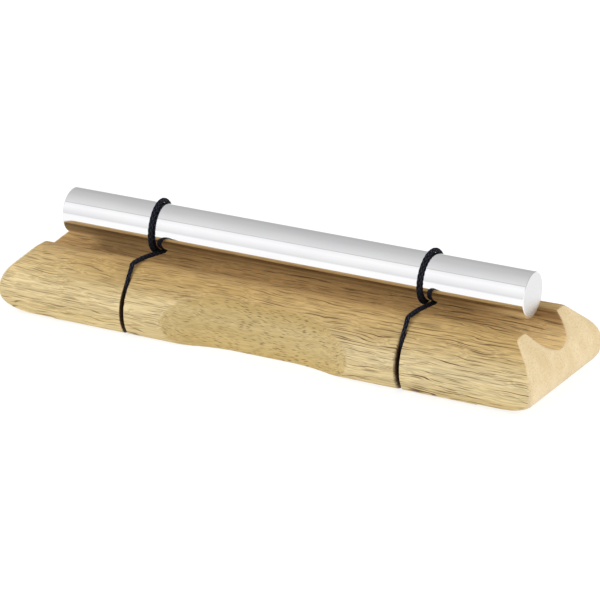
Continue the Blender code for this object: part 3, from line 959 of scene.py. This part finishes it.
def end_tone(wood):
    """The speckled tone of the end grain."""
    specks = wood.noise(wood.stretched(*SPECKS))
    plain = wood.mix(wood.map(wood.bands, 0.25, 0.75), *END_GRAIN)
    return wood.mix(wood.map(specks, 0.48, 0.70, 0.0, 0.45), plain, END_SPECKS)


def on_ends(wood):
    """1 on the block's sloping ends and 0 elsewhere."""
    facing = wood.node("ShaderNodeSeparateXYZ")
    wood.link(wood.node("ShaderNodeNewGeometry").outputs["Normal"], facing.inputs["Vector"])
    endward = wood.map(wood.math("ABSOLUTE", facing.outputs["X"], 0.0), *ENDS_FACING)
    far_along = wood.map(wood.math("ABSOLUTE", wood.along, 0.0), *ENDS_ALONG)
    return wood.math("MULTIPLY", endward, far_along)


def wood_finish():
    """Pale straw wood, browner on top and in the groove, partly as painted shade from the bar, with painted
    shade in its saw cuts, wavy dark pores and paler end grain.
    """
    wood = Wood("pale_wood")
    scooped = wood.kept("scooped")
    in_groove = wood.math("MULTIPLY", wood.map(wood.up, *GROOVE_UP), wood.in_groove)
    tone = wood.mix(in_groove, outside_tone(wood), groove_tone(wood))
    tone = wood.mix(wood.map(wood.rings, 0.35, 0.70, 0.0, 0.28), tone, RING_WOOD)
    tone = wood.mix(1.0, tone, wood.map(wood.fibres, 0.32, 0.68, 1.14, 0.77), "MULTIPLY")
    tone = wood.mix(wood.math("MULTIPLY", scooped, SCOOP_TONE), tone, SCOOP_WOOD)
    pores = all_pores(wood, scooped)
    tone = wood.mix(wood.math("MULTIPLY", pores, PORE_TONE), tone, PORE_WOOD)
    tone = wood.mix(1.0, tone, wood.map(wood.along, *DEEPENS_ALONG, 1.0, 0.91), "MULTIPLY")
    tone = wood.mix(wood.map(wood.up, *FOOT_UP, 1.0, 0.0), tone, FOOT_TINT, "MULTIPLY")
    tone = wood.mix(on_ends(wood), tone, end_tone(wood))
    # Dark brown painted shade inside the saw cuts
    wood.drive("Base Color", wood.mix(wood.kept("kerf_shade"), tone, KERF_SHADE_WOOD))
    wood.drive("Roughness", wood.map(wood.fibres, 0.2, 0.8, *WOOD_ROUGHNESS))
    relief = wood.math("SUBTRACT", wood.math("MULTIPLY", wood.fibres, FIBRE_RELIEF), pores)
    wood.bump(relief, WOOD_RELIEF, WOOD_RELIEF_STRENGTH)
    wood.set(Specular_IOR_Level=WOOD_GLOSS)
    return wood.material


def metal_finish():
    """Polished aluminium with faint drawn lines along the bar."""
    made = Finish("polished_aluminium")
    lines = made.noise(made.stretched(*DRAWN_LINES))
    cloud = made.noise(made.stretched(*CLOUDS))
    made.drive("Base Color", made.mix(made.map(cloud, 0.3, 0.7), *METAL_TINTS))
    made.drive("Roughness", made.map(lines, 0.3, 0.7, *METAL_ROUGHNESS))
    made.bump(lines, DRAWN_RELIEF, METAL_RELIEF_STRENGTH)
    made.set(Metallic=1.0)
    return made.material


def turned_finish():
    """The bar's end faces, with fine rings from the lathe."""
    made = Finish("turned_aluminium")
    from_middle = made.node("ShaderNodeVectorMath", operation="SUBTRACT")
    made.link(made.place(), from_middle.inputs[0])
    from_middle.inputs[1].default_value = BAR_CENTRE
    wave = made.node("ShaderNodeTexWave", wave_type="RINGS", rings_direction="X")
    wave.inputs["Scale"].default_value = LATHE_RINGS
    wave.inputs["Distortion"].default_value = LATHE_WOBBLE
    made.link(from_middle.outputs["Vector"], wave.inputs["Vector"])
    rings = wave.outputs["Fac"]
    made.drive("Base Color", made.mix(rings, *TURNED_TINTS))
    made.drive("Roughness", made.map(rings, 0.0, 1.0, *TURNED_ROUGHNESS))
    made.bump(rings, TURNED_RELIEF, METAL_RELIEF_STRENGTH)
    made.set(Metallic=1.0)
    return made.material


def cord_finish():
    """Matte navy-black braid: the strands' own navy with painted highlights on their tops, and black painted
    shade between them.
    """
    made = Finish("navy_cord")
    fuzz = made.noise(made.stretched(*FUZZ))
    # The strands' own navy, with painted highlights from the fuzz
    crest_and_highlight = made.mix(made.map(fuzz, 0.35, 0.65), *CORD_CREST_AND_HIGHLIGHT)
    # Painted shade between the strands, black where the braid is low
    made.drive("Base Color", made.mix(made.map(made.kept("braid"), 0.45, 1.0), CORD_VALLEY_SHADE, crest_and_highlight))
    made.bump(fuzz, FUZZ_RELIEF, FUZZ_RELIEF_STRENGTH)
    made.set(Roughness=CORD_ROUGHNESS, Specular_IOR_Level=CORD_GLOSS)
    return made.material


# Studio


def make_floor():
    """A plain pale floor that glows, so that it stays white with only a faint shadow."""
    made = Finish("pale_floor")
    made.set(Base_Color=FLOOR_GREY, Roughness=1.0, Specular_IOR_Level=0.0, Emission_Color=FLOOR_WHITE)
    place = made.node("ShaderNodeSeparateXYZ")
    made.link(made.place(), place.inputs["Vector"])
    made.drive("Emission Strength", made.map(place.outputs["Y"], *FLOOR_DIMS, *FLOOR_GLOW))
    corners = [(x * FLOOR_REACH, y * FLOOR_REACH, 0) for x, y in ((-1, -1), (1, -1), (1, 1), (-1, 1))]
    mesh = bpy.data.meshes.new("floor")
    mesh.from_pydata(corners, [], [(0, 1, 2, 3)])
    new_piece("floor", mesh, made.material)


def make_world():
    """Soft light from all round: a white wall of light in front, grey overhead and behind."""
    world = bpy.data.worlds.new("studio")
    world.use_nodes = True
    tree = world.node_tree
    shader = tree.nodes["Background"]
    coordinates = tree.nodes.new("ShaderNodeTexCoord")
    parts = tree.nodes.new("ShaderNodeSeparateXYZ")
    tree.links.new(coordinates.outputs["Generated"], parts.inputs["Vector"])
    angle = tree.nodes.new("ShaderNodeMath")
    angle.operation = "ARCTAN2"
    tree.links.new(parts.outputs["Y"], angle.inputs[0])
    tree.links.new(parts.outputs["Z"], angle.inputs[1])
    share = tree.nodes.new("ShaderNodeMapRange")
    share.inputs["From Min"].default_value = math.pi / 2
    share.inputs["From Max"].default_value = -math.pi / 2
    tree.links.new(angle.outputs["Value"], share.inputs["Value"])
    walls = tree.nodes.new("ShaderNodeValToRGB")
    tree.links.new(share.outputs["Result"], walls.inputs["Fac"])
    stops = walls.color_ramp.elements
    while len(stops) < len(STUDIO_WALLS):
        stops.new(1.0)
    for stop, (degrees, level) in zip(stops, STUDIO_WALLS):
        stop.position = (degrees + 90) / 180
        stop.color = (level, level, level, 1.0)
    tree.links.new(walls.outputs["Color"], shader.inputs["Color"])
    bpy.context.scene.world = world


def make_lamp(name, direction, distance, size, power):
    """A large soft lamp that lights the block but doesn't show in the bar."""
    data = bpy.data.lights.new(name, "AREA")
    data.shape = "DISK"
    data.size = size
    data.energy = power
    lamp = bpy.data.objects.new(name, data)
    lamp.location = Vector(direction).normalized() * distance
    lamp.rotation_euler = (-lamp.location).to_track_quat("-Z", "Y").to_euler()
    lamp.visible_glossy = False
    bpy.context.scene.collection.objects.link(lamp)


def make_camera():
    """The photograph's camera, aimed so that the bar's middle falls where the photograph has it."""
    back = Vector((
        math.sin(VIEW_AZIMUTH) * math.cos(VIEW_ELEVATION),
        -math.cos(VIEW_AZIMUTH) * math.cos(VIEW_ELEVATION),
        math.sin(VIEW_ELEVATION),
    ))
    right = Vector((math.cos(VIEW_AZIMUTH), math.sin(VIEW_AZIMUTH), 0))
    up = back.cross(right)
    pixel = VIEW_DISTANCE / FOCAL_PIXELS
    middle = FRAME_PIXELS / 2
    aim = BAR_CENTRE + right * pixel * (middle - BAR_PIXEL[0]) - up * pixel * (middle - BAR_PIXEL[1])
    data = bpy.data.cameras.new("camera")
    data.sensor_width = SENSOR_WIDTH
    data.lens = SENSOR_WIDTH * FOCAL_PIXELS / FRAME_PIXELS
    data.clip_start = NEAR_CLIP
    camera = bpy.data.objects.new("camera", data)
    camera.location = BAR_CENTRE + back * VIEW_DISTANCE
    camera.rotation_euler = (aim - camera.location).to_track_quat("-Z", "Y").to_euler()
    bpy.context.scene.collection.objects.link(camera)
    bpy.context.scene.camera = camera


make_camera()
make_world()
make_floor()
make_lamp("key_lamp", **KEY_LAMP)
make_lamp("end_lamp", **END_LAMP)
braid = cord_finish()
for side, along, shift, lean in cord_places():
    make_cord(side, along, shift, lean, braid)
    make_knot(side, along, braid)
make_block(wood_finish())
make_bar(metal_finish(), turned_finish())
bpy.context.scene.view_settings.view_transform = "Standard"
